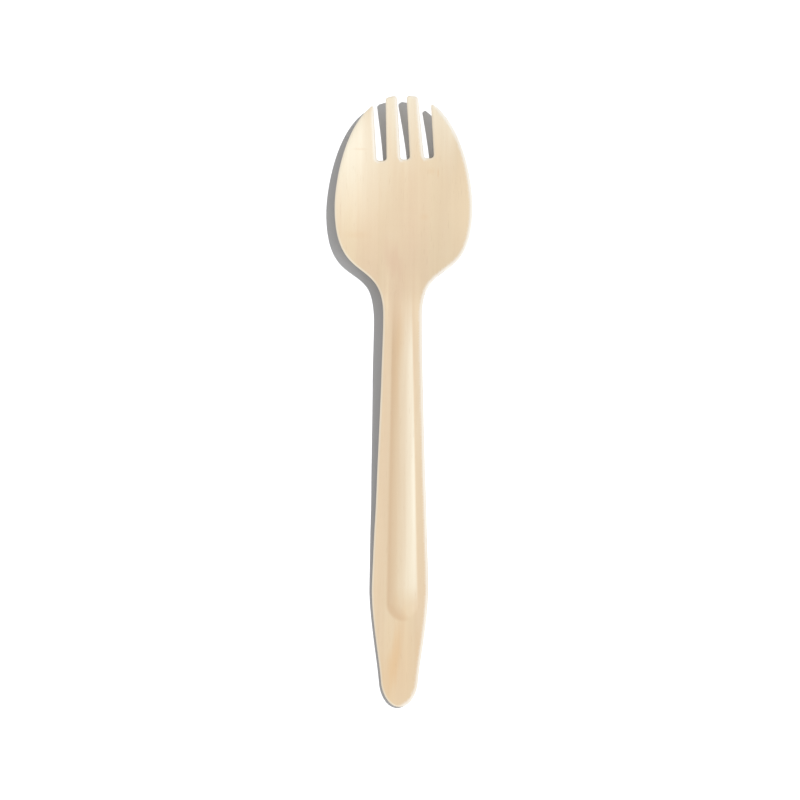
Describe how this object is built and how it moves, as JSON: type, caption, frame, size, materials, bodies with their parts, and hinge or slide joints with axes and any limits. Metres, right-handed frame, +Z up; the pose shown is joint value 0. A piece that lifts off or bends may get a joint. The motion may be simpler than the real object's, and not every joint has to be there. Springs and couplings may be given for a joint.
{
  "type": "wooden spork",
  "caption": "Disposable spork pressed from pale wood veneer: shallow bowl with blunt tines, narrow neck and a tapered handle stiffened by a raised rib.",
  "frame": {"origin": "middle of the spork's box, on the table it lies on", "axes": "+Y along the spork towards the tines, +Z up out of the bowl, +X to the right seen from above with the tines up"},
  "size_m": [0.036, 0.16, 0.0074],
  "materials": {
    "pale_wood": "smooth sanded, uncoated, matt"
  },
  "bodies": {
    "root": {"spork": "pale_wood"}
  },
  "joints": []
}
